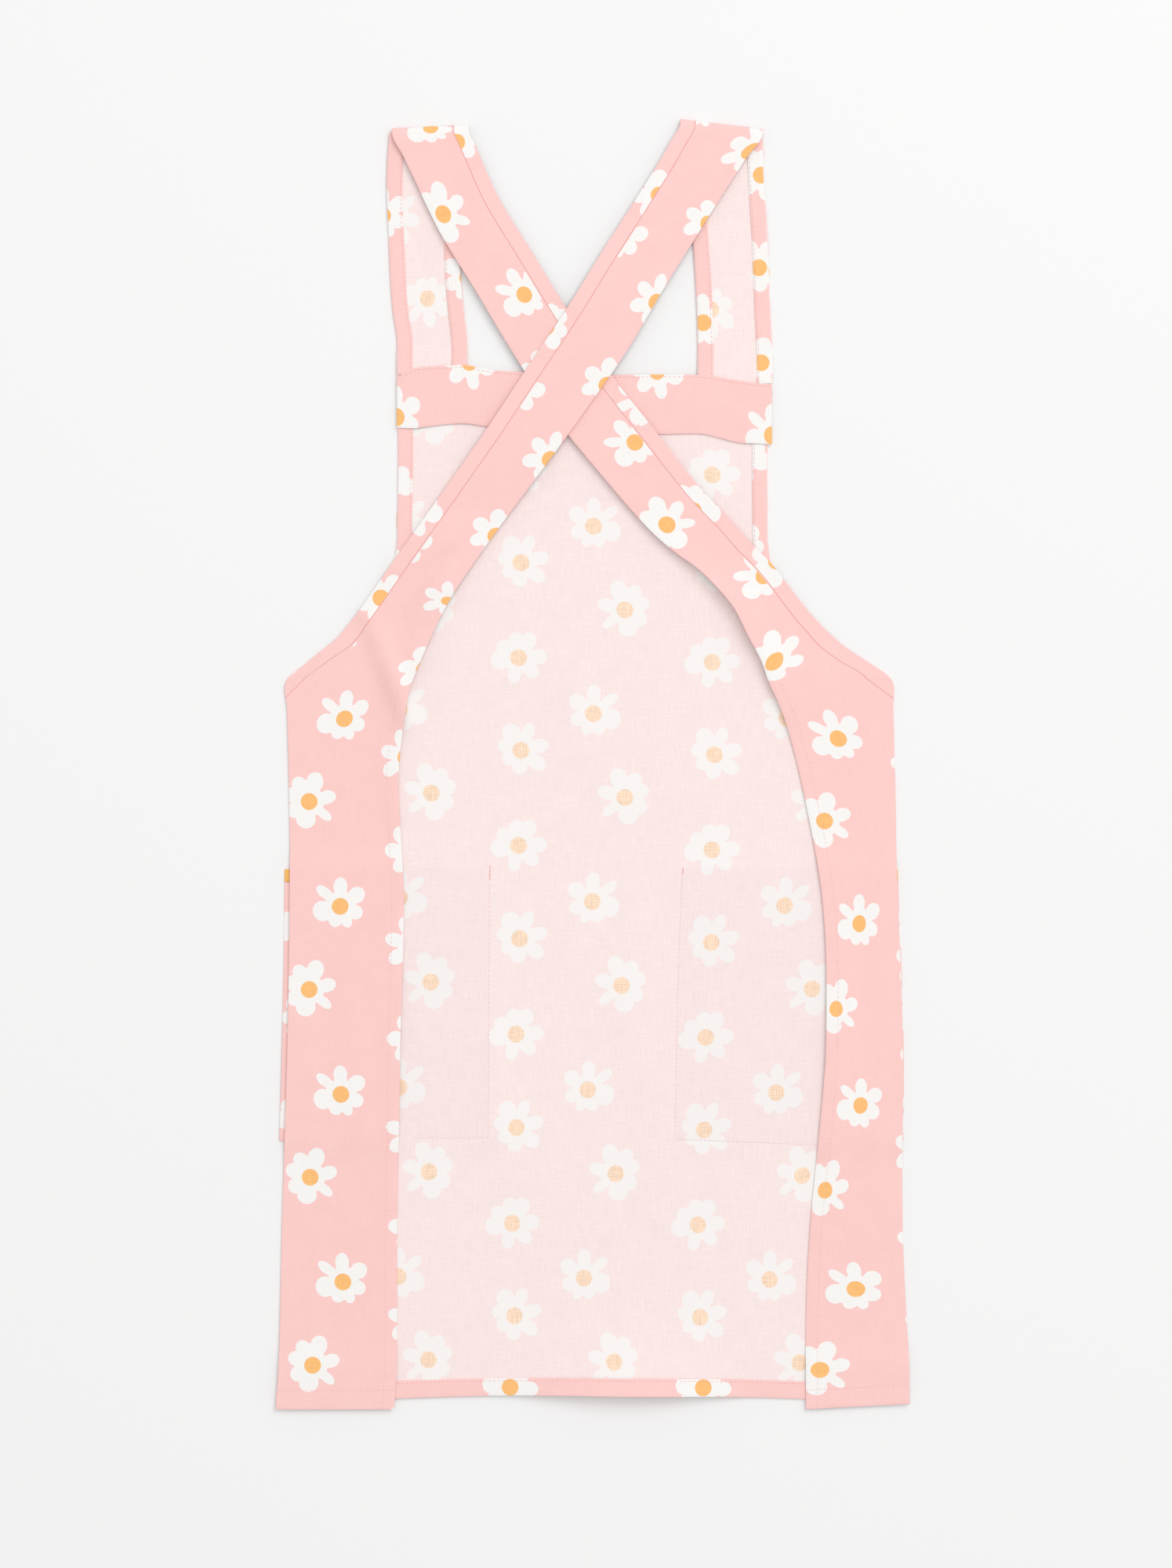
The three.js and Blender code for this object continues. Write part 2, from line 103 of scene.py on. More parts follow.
floor_mesh = bmesh.new()
bmesh.ops.create_grid(floor_mesh, x_segments=1, y_segments=1, size=4)
floor = add_object("floor", floor_mesh)
floor.location.z = -FLOOR_DROP
floor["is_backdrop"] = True


def soft_lamp(name, place, size, power):
    """A square lamp that looks at the middle of the apron."""
    lamp = bpy.data.lights.new(name, "AREA")
    lamp.size = size
    lamp.energy = power
    holder = add_object(name, lamp)
    holder.location = place
    holder.rotation_euler = (-Vector(place)).to_track_quat("-Z", "Y").to_euler()


soft_lamp("window", (1.8, 2.6, 3.4), 2.3, 60)
soft_lamp("overhead", (0.2, 0.5, 4.6), 3.6, 58)
world = bpy.data.worlds.new("room")
world.use_nodes = True
background = world.node_tree.nodes["Background"]
background.inputs["Color"].default_value = ROOM_COLOUR
background.inputs["Strength"].default_value = ROOM_LIGHT
bpy.context.scene.world = world
bpy.context.scene.view_settings.view_transform = "Standard"
print("camera height in metres:", round(camera.location.z, 3))

# %% [markdown]
# ## Reading the cut pieces from the frame
#
# In the frame each piece of cloth is a thin solid with a face on each side and a narrow rim at a
# right angle, so splitting the sharp edges takes the faces apart. Reading them is safer than
# typing the outlines again, because the sizes can't drift.

# %% Take the faces of the pieces apart
RIM_ANGLE = math.radians(60)
MERGE = 0.02 * MM
SIDES = ("left", "right")
CUT_PIECES = ["front_panel", "front_hem", "bib_facing"]
for side in SIDES:
    CUT_PIECES += [f"{kind}_{side}" for kind in ("bib_hem", "pocket", "pocket_trim", "back_panel")]
    CUT_PIECES += [f"strap_hem_{side}_{place}" for place in ("neck", "arm")]


def joined_faces(mesh):
    """Faces of a mesh in groups that hang together."""
    groups = []
    waiting = set(mesh.faces)
    while waiting:
        group = [waiting.pop()]
        for face in group:
            beside = {other for edge in face.edges for other in edge.link_faces} & waiting
            waiting -= beside
            group += beside
        groups.append(group)
    return groups


def outer_face(node):
    """The upper or outward face of a CAD sheet, as a mesh of its own."""
    mesh = bmesh.new()
    mesh.from_mesh(bpy.data.objects[node].data)
    bmesh.ops.remove_doubles(mesh, verts=mesh.verts, dist=MERGE)
    rim = [edge for edge in mesh.edges if edge.calc_face_angle(0) > RIM_ANGLE]
    bmesh.ops.split_edges(mesh, edges=rim)
    groups = joined_faces(mesh)
    groups.sort(key=lambda group: sum(face.calc_area() for face in group))
    pair = groups[-2:]

    def mean_height(group):
        return sum(face.calc_center_median().z for face in group) / len(group)

    kept = set(max(pair, key=mean_height))
    bmesh.ops.delete(mesh, geom=[face for face in mesh.faces if face not in kept], context="FACES")
    return mesh


faces = {name: outer_face(name) for name in CUT_PIECES}
print("faces on the front:", len(faces["front_panel"].faces))

# %% [markdown]
# The face that looks outwards has four corners, where its outline turns sharply. They part the
# outline into a left, a right, a bottom and a top edge.

# %% The four edges of each piece
def four_edges(mesh):
    """Edges of a sheet in millimetres: left and right from the bottom up, bottom and top from the left."""
    start = next(edge for edge in mesh.edges if edge.is_boundary)
    loop = [start.verts[0], start.verts[1]]
    last_edge = start
    while loop[-1] is not loop[0]:
        last_edge = next(edge for edge in loop[-1].link_edges if edge.is_boundary and edge is not last_edge)
        loop.append(last_edge.other_vert(loop[-1]))
    points = [vertex.co / MM for vertex in loop[:-1]]
    count = len(points)
    corners = []
    for index, point in enumerate(points):
        before = point - points[index - 1]
        after = points[(index + 1) % count] - point
        if before.angle(after) > RIM_ANGLE:
            corners.append(index)
    assert len(corners) == 4, corners
    first = min(corners, key=lambda index: points[index].x + 3 * points[index].y)
    place = corners.index(first)
    corners = corners[place:] + corners[:place]
    sides = []
    for first, last in zip(corners, corners[1:] + corners[:1]):
        length = (last - first) % count
        sides.append([points[(first + step) % count] for step in range(length + 1)])
    if sides[0][1].x - sides[0][0].x < sides[3][-2].x - sides[3][-1].x:
        sides = [side[::-1] for side in reversed(sides)]
    bottom, right, top, left = sides
    return left[::-1], right, bottom, top[::-1]


edges = {name: four_edges(face) for name, face in faces.items()}
print({name: [len(line) for line in lines] for name, lines in edges.items()})

# %% [markdown]
# The edges are made of short straight runs, which would show as corners on cloth. A cubic curve
# through their points gives back the smooth line that the cloth was cut along.

# %% Smooth lines through the edges
def smooth_point(points, at):
    """A point on a smooth line through the given points, where at counts them."""
    index = min(int(at), len(points) - 2)
    share = at - index
    low, high = points[index], points[index + 1]
    span = (high - low).length

    def slope(middle):
        before = points[max(middle - 1, 0)]
        after = points[min(middle + 1, len(points) - 1)]
        here = points[middle]
        into, out = (here - before).length, (after - here).length
        if into == 0 or out == 0:
            return (after - before) / (into + out)
        return ((after - here) / out * into + (here - before) / into * out) / (into + out)

    square = share * share
    cube = square * share
    place = low * (2 * cube - 3 * square + 1) + high * (3 * square - 2 * cube)
    return (place + slope(index) * (span * (cube - 2 * square + share))
            + slope(index + 1) * (span * (cube - square)))


upper = {}
for name, face in faces.items():
    upper[name] = BVHTree.FromBMesh(face)
    face.free()
print("pieces read:", len(upper))

# %% [markdown]
# ## How the cloth lies
#
# The frame's walls are thicker than linen, so the lower layers settle a little. Laid cloth keeps
# long low swells, a few soft folds, and a front hem that stands up in the middle. All layers
# share the same swells, so no layer can cross another.

# %% Thinner cloth, swells and folds
CLOTH = 0.55
SOLID_WALL = 1.0
LOW_LAYERS = 3


def mix(low, high, share):
    return low + (high - low) * share


def clamp(value):
    """The value, held between 0 and 1."""
    return min(1, max(0, value))


def bell(value, middle, width):
    """1 at the middle, smoothly down to 0 at the width on each side."""
    return (0.5 + 0.5 * math.cos(math.pi * clamp(abs(value - middle) / width))) if width else 0


def stops_along(lines, longest):
    """Places along a line's points, so that no step is longer than the one given."""
    stops = [0]
    for index in range(len(lines[0]) - 1):
        length = max((line[index + 1] - line[index]).length for line in lines)
        count = max(1, math.ceil(length / longest))
        stops += [index + (step + 1) / count for step in range(count)]
    return stops


def share_of(line, at):
    """Share of a line's width at a place along its points."""
    return (smooth_point(line, at).x - line[0].x) / (line[-1].x - line[0].x)


# Each fold: where it starts and ends, its half width and its height, in millimetres
FOLDS = [
    ((-122, 80), (-101, 24), 10, 3.1),
    ((-99, 84), (-78, 108), 7, 1.5),
    ((-92, 117), (-66, 133), 16, 2.6),
    ((128, 60), (112, 20), 9, 0.9),
    ((-60, -150), (-30, -260), 22, 0.7),
    ((20, -90), (38, -240), 24, 0.7),
    ((-20, 60), (10, -20), 20, 0.6),
    ((140, -120), (128, -260), 16, 0.7),
    ((-140, -60), (-128, -200), 15, 0.6),
]
# Swells: height, length across, length along, and a number that picks the noise
SWELLS = [(1.1, 105, 130, 3.1), (0.35, 42, 55, 7.7)]
LEAST_SWELL = 0.1
# The raised front hem: its height, middle and half width, where it starts and how long it rises
RAISED_HEM = (6.5, 21, 80, -290, 60)


def swell(x, y):
    """How far the cloth stands up from flat at a place on the table, in millimetres."""
    place = Vector((x, y))
    height = LEAST_SWELL
    for top, across, along, seed in SWELLS:
        height += top * noise.noise(Vector((x / across, y / along, seed)))
    top, middle, half_width, start, run = RAISED_HEM
    height += top * bell(x, middle, half_width) * clamp((start - y) / run) ** 2
    for start, end, half_width, top in FOLDS:
        start, end = Vector(start), Vector(end)
        share = clamp((place - start).dot(end - start) / (end - start).length_squared)
        away = (place - start.lerp(end, share)).length
        height += top * bell(away, 0, half_width) * math.sin(math.pi * mix(0.2, 0.8, share))
    return max(0, height)


def settled(point):
    """Height of a point once the cloth is as thin as linen and lies on its swells and folds."""
    thinner = (1 - CLOTH / SOLID_WALL) * min(point.z, LOW_LAYERS)
    return point.z - thinner + swell(point.x, point.y)


def settle(rows):
    """Lays rows of points on the swells and folds, which all layers share so that none cross."""
    for row in rows:
        for point in row:
            point.z = settled(point)
    return rows


print("height of the hem's middle in mm:", round(swell(21, -350), 1))

# %% [markdown]
# ## Making a sheet of cloth
#
# Rows of points fill each piece between its four edges, a few millimetres apart.

# %% Rows of points on a flat piece
ABOVE = 100


def flat_grid(name, longest):
    """Rows of points on a flat cut piece, between its four edges and at its own height."""
    left, right, bottom, top = edges[name]
    ups = stops_along([left, right], longest)
    acrosses = stops_along([bottom, top], longest)
    rows = []
    for up in ups:
        share_up = clamp((smooth_point(left, up).y - left[0].y) / (left[-1].y - left[0].y))
        first, last = smooth_point(left, up), smooth_point(right, up)
        row = []
        for across in acrosses:
            low, high = smooth_point(bottom, across), smooth_point(top, across)
            share = mix(share_of(bottom, across), share_of(top, across), share_up)
            point = first.lerp(last, share)
            point.y += (1 - share_up) * (low.y - mix(bottom[0].y, bottom[-1].y, share))
            point.y += share_up * (high.y - mix(top[0].y, top[-1].y, share))
            row.append(point)
        rows.append(row)
    for row in rows:
        for point in row:
            hit = upper[name].ray_cast(Vector((point.x, point.y, ABOVE)) * MM, -UP)[0]
            if hit is None:
                hit = upper[name].find_nearest(point * MM)[0]
            point.z = hit.z / MM
    return settle(rows)


front_rows = flat_grid("front_panel", 3)
print("front:", len(front_rows), "rows of", len(front_rows[0]))

# %% [markdown]
# A sheet starts as Blender's own grid, and its points are moved onto the rows. Its UV map says
# where each point lies on the flat cloth, in metres, so the print and the weave follow the piece.
# A Solidify modifier gives the thickness, with the wrong side on the other face.

# %% A sheet of cloth from rows of points
RIM_SOFTNESS = 0.25


def sheet(name, rows, uv_maps, materials):
    """A sheet of cloth on rows of points, with UV maps given as rows of pairs."""
    mesh = bmesh.new()
    columns = len(rows[0])
    made = bmesh.ops.create_grid(mesh, x_segments=columns - 1, y_segments=len(rows) - 1, size=1)
    order = sorted(made["verts"], key=lambda vertex: (round(vertex.co.y, 5), round(vertex.co.x, 5)))
    spot = {}
    for index, vertex in enumerate(order):
        row, column = divmod(index, columns)
        vertex.co = rows[row][column] * MM
        spot[vertex] = (row, column)
    for map_name, pairs in uv_maps.items():
        layer = mesh.loops.layers.uv.new(map_name)
        for face in mesh.faces:
            for corner in face.loops:
                row, column = spot[corner.vert]
                corner[layer].uv = pairs[row][column]
    for face in mesh.faces:
        face.smooth = True
    piece = add_object(name, mesh)
    for material in materials:
        piece.data.materials.append(material)
    wall = piece.modifiers.new("thickness", "SOLIDIFY")
    wall.thickness = CLOTH * MM
    wall.offset = -1
    wall.material_offset = len(materials) - 1
    wall.material_offset_rim = 0
    soften = piece.modifiers.new("soft_rim", "BEVEL")
    soften.width = RIM_SOFTNESS * MM
    soften.segments = 2
    soften.limit_method = "ANGLE"
    soften.angle_limit = RIM_ANGLE
    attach(piece, "root")
    return piece


print("cloth thickness in mm:", CLOTH)

# %% [markdown]
# ## Shader maths as plain expressions
#
# A pattern in Blender is a web of nodes. Wrapping each socket in a small class lets the web be
# written as sums and products, which is easier to read and to change than a list of links.

# %% A small class for shader maths
class Value:
    """One output of a node. Sums with it add Math nodes."""

    def __init__(self, finish, socket):
        self.finish = finish
        self.socket = socket

    def maths(self, operation, first, second=None):
        values = {0: first} if second is None else {0: first, 1: second}
        return self.finish.node("ShaderNodeMath", {"operation": operation}, values)

    def __add__(self, other):
        return self.maths("ADD", self, other)

    def __sub__(self, other):
        return self.maths("SUBTRACT", self, other)

    def __rsub__(self, other):
        return self.maths("SUBTRACT", other, self)

    def __mul__(self, other):
        return self.maths("MULTIPLY", self, other)

    def __truediv__(self, other):
        return self.maths("DIVIDE", self, other)

    def step(self, low, high):
        """0 below low, 1 above high, and a smooth rise between them."""
        settings = {"interpolation_type": "SMOOTHSTEP"}
        return self.finish.node("ShaderNodeMapRange", settings, {0: self, 1: low, 2: high})

# %% [markdown]
# A second class holds a material and makes all of its nodes.

# %% A class for finishes
CURVE_END = 0.002


def add_node(tree, kind, settings=None, values=None):
    """Adds a node: its settings first, then the values or links of its sockets."""
    added = tree.nodes.new(kind)
    for key, value in (settings or {}).items():
        setattr(added, key, value)
    for key, value in (values or {}).items():
        if isinstance(value, bpy.types.NodeSocket):
            tree.links.new(value, added.inputs[key])
        else:
            added.inputs[key].default_value = value
    return added


class Finish:
    """A material, and the one way in which its nodes are made."""

    def __init__(self, name, roughness=0.9, specular=0.12):
        self.material = bpy.data.materials.new(name)
        self.material.use_nodes = True
        self.tree = self.material.node_tree
        self.shader = self.tree.nodes["Principled BSDF"]
        self.shader.inputs["Roughness"].default_value = roughness
        self.shader.inputs["Specular IOR Level"].default_value = specular

    def node(self, kind, settings=None, values=None, output=0):
        """Adds a node and gives one of its outputs."""
        sockets = {}
        for key, value in (values or {}).items():
            sockets[key] = value.socket if isinstance(value, Value) else value
        return Value(self, add_node(self.tree, kind, settings, sockets).outputs[output])

    def closed_curve(self, value, points):
        """A curve through points that ends at the height that it starts from."""
        made = self.node("ShaderNodeFloatCurve", None, {"Value": value})
        mapping = made.socket.node.mapping
        curve = mapping.curves[0]
        first_level = points[0][1]
        curve.points[0].location = (0, first_level)
        curve.points[1].location = (1, first_level)
        for place, level in points:
            if CURVE_END < place < 1 - CURVE_END:
                curve.points.new(place, level)
        mapping.update()
        return made

    def blend(self, first, second, share, how="MIX"):
        """Two colours, mixed by a share from 0 to 1."""
        settings = {"data_type": "RGBA", "blend_type": how}
        return self.node("ShaderNodeMix", settings, {0: share, 6: first, 7: second}, 2)

    def uv(self, name):
        """The two coordinates of a UV map."""
        return self.two_parts(self.node("ShaderNodeUVMap", {"uv_map": name}))

    def two_parts(self, place):
        apart = self.node("ShaderNodeSeparateXYZ", None, {0: place})
        return apart, Value(self, apart.socket.node.outputs[1])

    def noise(self, across, along, fine_across, fine_along, detail=2, roughness=0.5):
        """Noise between 0 and 1, as fine as is asked across and along the cloth."""
        place = self.node("ShaderNodeCombineXYZ", None, {0: across * fine_across, 1: along * fine_along})
        values = {"Vector": place, "Scale": 1, "Detail": detail, "Roughness": roughness}
        return self.node("ShaderNodeTexNoise", {"noise_dimensions": "2D"}, values)

    def feed(self, name, value):
        self.tree.links.new(value.socket, self.shader.inputs[name])

    def roughen(self, height, strength, depth):
        """Makes a height shade like relief, so many millimetres deep."""
        values = {"Strength": strength, "Distance": depth * MM, "Height": height}
        self.feed("Normal", self.node("ShaderNodeBump", None, values))

# %% [markdown]
# ## The daisy print
#
# Four daisies repeat over the cloth. Each has seven petals of its own, charted as an angle, a length and a
# width. For a point on the cloth, a curve tells how far the petals reach in its direction, and the point is
# white if it lies nearer to the middle than that.

# %% The chart of the print
REPEAT = (105.8, 102.8)
CENTRE_RADIUS = 4.6
PETAL_ROOT = 8.3

# A place in the repeat, then the petals: angle in degrees, length and width in millimetres
DAISIES = [
    ((0, 0), [(83, 14, 7.8), (120, 15.5, 7.8), (176, 15.5, 7.4), (225, 14.5, 6.6), (283, 14.3, 6.2),
              (352, 15.3, 9), (34, 13.8, 7.4)]),
    ((-40.9, -29.7), [(91, 15.9, 6.6), (35, 15.5, 7.8), (339, 13, 7), (293, 12.4, 5.4),
                      (250, 11.8, 6.6), (195, 15.3, 9.8), (140, 17, 5)]),
    ((-1.3, -50.7), [(61, 15.9, 9), (111, 16, 6.2), (165, 15.6, 6.6), (217, 15.8, 7),
                     (274, 13.2, 7.4), (323, 11.8, 6.6), (14, 13, 7)]),
    ((47.7, -75.2), [(73, 16.7, 8.2), (14, 15.1, 6.6), (320, 15.5, 4.6), (259, 14.8, 9.4),
                     (211, 13.4, 7.8), (158, 14.1, 7.4), (119, 15.1, 7.4)]),
]
LONGEST = 20
READINGS = 12
# Each petal is an oval: its half length is this share of its reach, its half width of its width
PETAL_HALF_LENGTH = 0.35
PETAL_HALF_WIDTH = 0.58


def petal_reach(petals, angle):
    """How far the petals of one daisy reach in a direction, in millimetres."""
    reach = PETAL_ROOT
    for middle, length, width in petals:
        turn = math.radians(angle - middle)
        half_length = length * PETAL_HALF_LENGTH
        centre = length - half_length
        half_width = width * PETAL_HALF_WIDTH
        # Far side of the petal's oval, on a ray from the middle of the flower
        along, aside = math.cos(turn), math.sin(turn)
        a = (along / half_length) ** 2 + (aside / half_width) ** 2
        b = -2 * centre * along / half_length ** 2
        c = (centre / half_length) ** 2 - 1
        root = b * b - 4 * a * c
        if along > 0 and root > 0:
            reach = max(reach, (-b + math.sqrt(root)) / (2 * a))
    return reach


def reach_curve(petals):
    """Points of a curve round one daisy, from one full turn's share to the reach of its petals."""
    middles = sorted(middle for middle, length, width in petals)
    turns = []
    for middle, following in zip(middles, middles[1:] + [middles[0] + 360]):
        turns += [mix(middle, following, step / READINGS) % 360 for step in range(READINGS)]
    return [(turn / 360, petal_reach(petals, turn) / LONGEST) for turn in sorted(turns)]


print("points round the first daisy:", len(reach_curve(DAISIES[0][1])))

# %% [markdown]
# In the shader the chart becomes two masks, for the petals and for the orange centres. Each daisy
# looks at the nearest of its own repeats, so one chart fills the whole cloth.

# %% Masks of the petals and the centres
def daisy_masks(finish, across, along, softness):
    """Where the petals and the centres of the print are, from coordinates in metres."""
    masks = (0, 0)
    for place, petals in DAISIES:
        x = from_nearest(across, place[0] * MM, REPEAT[0] * MM) / MM
        y = from_nearest(along, place[1] * MM, REPEAT[1] * MM) / MM
        distance = x.maths("SQRT", x * x + y * y)
        turn = x.maths("FRACT", x.maths("ARCTAN2", y, x) / (2 * math.pi))
        reach = finish.closed_curve(turn, reach_curve(petals)) * LONGEST
        insides = (reach - distance, CENTRE_RADIUS - distance)
        parts = [inside.step(-softness, softness) for inside in insides]
        masks = [x.maths("MAXIMUM", mask, part) for mask, part in zip(masks, parts)]
    return masks


def from_nearest(coordinate, place, repeat):
    """Distance from the nearest of the places that repeat along a coordinate."""
    repeats = (coordinate - place) / repeat
    return (repeats - repeats.maths("ROUND", repeats)) * repeat

# %% [markdown]
# ## The linen
#
# Linen is woven from uneven threads. Fine waves both ways stand for the threads, and long thin
# noise for their thick and thin places, the slubs. Broad faint patches keep the colour from
# looking like paper.

# %% The weave and the colours
THREAD = 0.86 * MM
SLUB_FINE = 1500
SLUB_LONG = 95
PATCHES = 70


def weave(finish, across, along):
    """Linen threads both ways: their height, and the slubs that colour them unevenly."""
    thick_warp = finish.noise(across, along, SLUB_FINE, SLUB_LONG, 3, 0.6)
    thick_weft = finish.noise(across, along, SLUB_LONG, SLUB_FINE, 3, 0.6)
    slubs = thick_warp * 0.55 + thick_weft * 0.45
    warp = across.maths("SINE", across * (2 * math.pi / THREAD))
    weft = across.maths("SINE", along * (2 * math.pi / THREAD))
    threads = (warp * 0.5 + weft * 0.5) * 0.12 + slubs
    patches = finish.noise(across, along, PATCHES, PATCHES, 2, 0.5)
    return threads, slubs, patches


def linen(colour, share):
    """A colour of the cloth, a share darker or lighter."""
    return tuple(channel * share for channel in colour) + (1,)


CORAL = (0.922, 0.59, 0.568)
DEEP_CORAL = (0.91, 0.555, 0.53)
# The seam colour below is painted shade: the darkness inside the groove of the binding's seam.
SEAM_SHADE_CORAL = (0.78, 0.36, 0.34)
PALE_CORAL = (0.91, 0.765, 0.75)
GREY_CORAL = (0.87, 0.737, 0.741)
PALE_ORANGE = (0.925, 0.69, 0.51)
WHITE = (0.885, 0.865, 0.848)
ORANGE = (0.935, 0.51, 0.19)
MUSTARDS = ((0.82, 0.42, 0.11), (0.93, 0.55, 0.18))
TABLE = (0.86, 0.86, 0.86, 1)
print("threads in 10 mm of linen:", round(10 * MM / THREAD, 1))

# %% [markdown]
# ## The right side
#
# The right side is coral pink with white daisies. Along the binding of the armholes and straps the shader
# paints a fine line of shade where the seam sinks into a groove, and shows a daisy only where the second UV
# map says so.

# %% The right side of the cloth
BAND = 8


def printed_cloth(name, banded=False):
    """The right side of the cloth: coral pink with white daisies."""
    finish = Finish(name)
    across, along = finish.uv("cloth")
    petals, centres = daisy_masks(finish, across, along, 0.2)
    if banded:
        from_edge, printed = finish.uv("band")
        shown = printed.step(0.9, 1)
        petals, centres = petals * shown, centres * shown
    threads, slubs, patches = weave(finish, across, along)
    ground = finish.blend(linen(CORAL, 0.98), linen(CORAL, 1.015), slubs.step(0.36, 0.64))
    ground = finish.blend(ground, linen(DEEP_CORAL, 1), patches.step(0.35, 0.8) * 0.4)
    white = finish.blend(linen(WHITE, 0.985), linen(WHITE, 1.01), slubs.step(0.4, 0.6))
    orange = finish.blend(linen(ORANGE, 0.94), linen(ORANGE, 1.04), slubs.step(0.36, 0.64))
    colour = finish.blend(ground, white, petals)
    colour = finish.blend(colour, orange, centres)
    if banded:
        # Painted shade: a fine dark line along the binding's seam stands for the shadow in its groove, and
        # the bump sinks the same line as relief.
        beside = from_edge - BAND * MM
        seam = 1 - beside.maths("ABSOLUTE", beside).step(0.08 * MM, 0.42 * MM)
        colour = finish.blend(colour, linen(SEAM_SHADE_CORAL, 1), seam * 0.9)
        threads = threads - seam * 0.8
    finish.feed("Base Color", colour)
    finish.roughen(threads, 0.3, 0.18)
    return finish.material


PRINTED = printed_cloth("printed_cloth")
BANDED = printed_cloth("printed_cloth_with_binding", True)
print("nodes of the print:", len(PRINTED.node_tree.nodes))

# %% [markdown]
# ## The wrong side
#
# The print soaks only partly through linen, so the wrong side is a paler pink with soft edged
# daisies. The front's inside also shows faintly where the pockets are sewn on behind it.

# %% The wrong side of the cloth
# The pockets' stitched outline, in millimetres: foot, mouth, and one side of each
POCKET_FOOT = -205.5
POCKET_MOUTH = -56.4
POCKET_SIDES = (-56.6, 49.9)
FOOT_LEAN = 0.02
SIDE_LEAN = 0.0228
OUTLINE_BLUR = 0.4
POCKET_DIMMING = (0.985, 0.982, 0.987, 1)


def behind_pockets(finish):
    """1 where a pocket lies behind the front, and its stitched edge draws the cloth in."""
    x, y = finish.two_parts(finish.node("ShaderNodeTexCoord", None, None, "Object"))
    x, y = x / MM, y / MM
    limits = (y + x * FOOT_LEAN - POCKET_FOOT, POCKET_MOUTH - y, POCKET_SIDES[0] - x,
              x - y * SIDE_LEAN - POCKET_SIDES[1])
    above, below, left, right = [limit.step(-OUTLINE_BLUR, OUTLINE_BLUR) for limit in limits]
    return above * below * (left + right)


def wrong_side(name, pockets=False):
    """The wrong side: paler, with the slubs of the linen and the print showing through."""
    finish = Finish(name)
    across, along = finish.uv("cloth")
    petals, centres = daisy_masks(finish, across, along, 0.5)
    threads, slubs, patches = weave(finish, across, along)
    ground = finish.blend(linen(PALE_CORAL, 0.965), linen(PALE_CORAL, 1.03), slubs.step(0.36, 0.64))
    ground = finish.blend(ground, linen(GREY_CORAL, 1), patches.step(0.4, 0.75) * 0.4)
    colour = finish.blend(ground, linen(WHITE, 1), petals * 0.88)
    orange = finish.blend(linen(PALE_ORANGE, 0.9), linen(PALE_ORANGE, 1.08), slubs.step(0.4, 0.6))
    colour = finish.blend(colour, orange, centres * 0.95)
    if pockets:
        behind = behind_pockets(finish)
        colour = finish.blend(colour, POCKET_DIMMING, behind, "MULTIPLY")
        threads = threads + behind * 0.8
    finish.feed("Base Color", colour)
    finish.roughen(threads, 0.4, 0.2)
    return finish.material


WRONG_SIDE = wrong_side("wrong_side")
FRONT_INSIDE = wrong_side("front_inside", True)
print("nodes of the wrong side:", len(WRONG_SIDE.node_tree.nodes))

# %% [markdown]
# The mustard binding of the pockets is the same linen without a print. The table is plain.

# %% The mustard cloth and the table
mustard = Finish("mustard_binding")
across, along = mustard.uv("cloth")
threads, slubs, patches = weave(mustard, across, along)
dark_mustard, light_mustard = [linen(colour, 1) for colour in MUSTARDS]
mustard.feed("Base Color", mustard.blend(dark_mustard, light_mustard, slubs.step(0.35, 0.65)))
MUSTARD = mustard.material
paper = Finish("table")
paper.shader.inputs["Base Color"].default_value = TABLE
floor.data.materials.append(paper.material)
print("finishes:", [material.name for material in bpy.data.materials])

# %% [markdown]
# ## The front
#
# The skirt and the bib are one piece of cloth. Its print is seen from behind, so left and right
# change places.

# %% The front panel
# Down the front: the height, the column of daisies that the chart starts from, the width of the
# repeat there, and its slope
PRINT_DRIFT = [
    (60, 65.6, 106.2, 0.024), (-50, 65.4, 106, 0.022), (-150, 62, 104, 0.016),
    (-250, 57.7, 101.8, 0.008),
]
PRINT_START = 55.8


def read_table(table, at):
    """A row of numbers between the rows of a table, which runs up or down in its first column."""
    rows = sorted(table)
    if at <= rows[0][0]:
        return rows[0][1:]
    for low, high in zip(rows, rows[1:]):
        if at <= high[0]:
            share = (at - low[0]) / (high[0] - low[0])
            return tuple(mix(a, b, share) for a, b in zip(low[1:], high[1:]))
    return rows[-1][1:]


def front_uv(rows):
    """Place on the flat cloth of each point of the front, seen from its wrong side."""
    pairs = []
    for row in rows:
        line = []
        for point in row:
            column, width, slope = read_table(PRINT_DRIFT, point.y)
            u = (column - point.x) * REPEAT[0] / width
            v = point.y - PRINT_START + slope * (point.x - column)
            line.append((u * MM, v * MM))
        pairs.append(line)
    return pairs


front = sheet("front", front_rows, {"cloth": front_uv(front_rows)}, [FRONT_INSIDE, PRINTED])
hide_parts("front_panel")
print("front:", len(front.data.polygons), "faces")

# %% [markdown]
# ## The back panels and their straps
#
# Each back panel is one long piece: the flap, the curve of the armhole and the strap. Its rows
# start at the armhole's edge, close together across the binding, and end at the free back edge,
# which curls up a little.

# %% Rows of points on the back panels
BAND_COLUMNS = [0, 0.9, 2.6, 4.8, 6.6, 7.4, 7.8, 8.1, 8.6, 9.6]
BODY_COLUMNS = 18
ROW_PITCH = 2.5
CURL = 22
# Length of the side seam, above which the armhole and its binding start, in millimetres
SIDE_SEAM = 399
# The binding's foot: how far it runs on below the armhole, how its slant fades out there, and how
# much narrower it gets on the left
BAND_FOOT = 14
SLANT_RUN = 15
LEAST_SLANT = 0.45
NARROWER = {"left": 0.35, "right": 0}
NARROW_RUN = 30
NO_BAND = 50

# How high the free back edge stands up: the height on the table, and the lift, in millimetres
EDGE_LIFT = {
    "left": [
        (-353, 0), (-200, 0.3), (-50, 0.6), (0, 1.6), (40, 2.6), (75, 1.4), (98, 2.4),
        (130, 0.5), (360, 0),
    ],
    "right": [(-353, 0.1), (-200, 0.7), (-50, 0.9), (30, 0.7), (75, 1.6), (115, 1.2), (160, 0)],
}


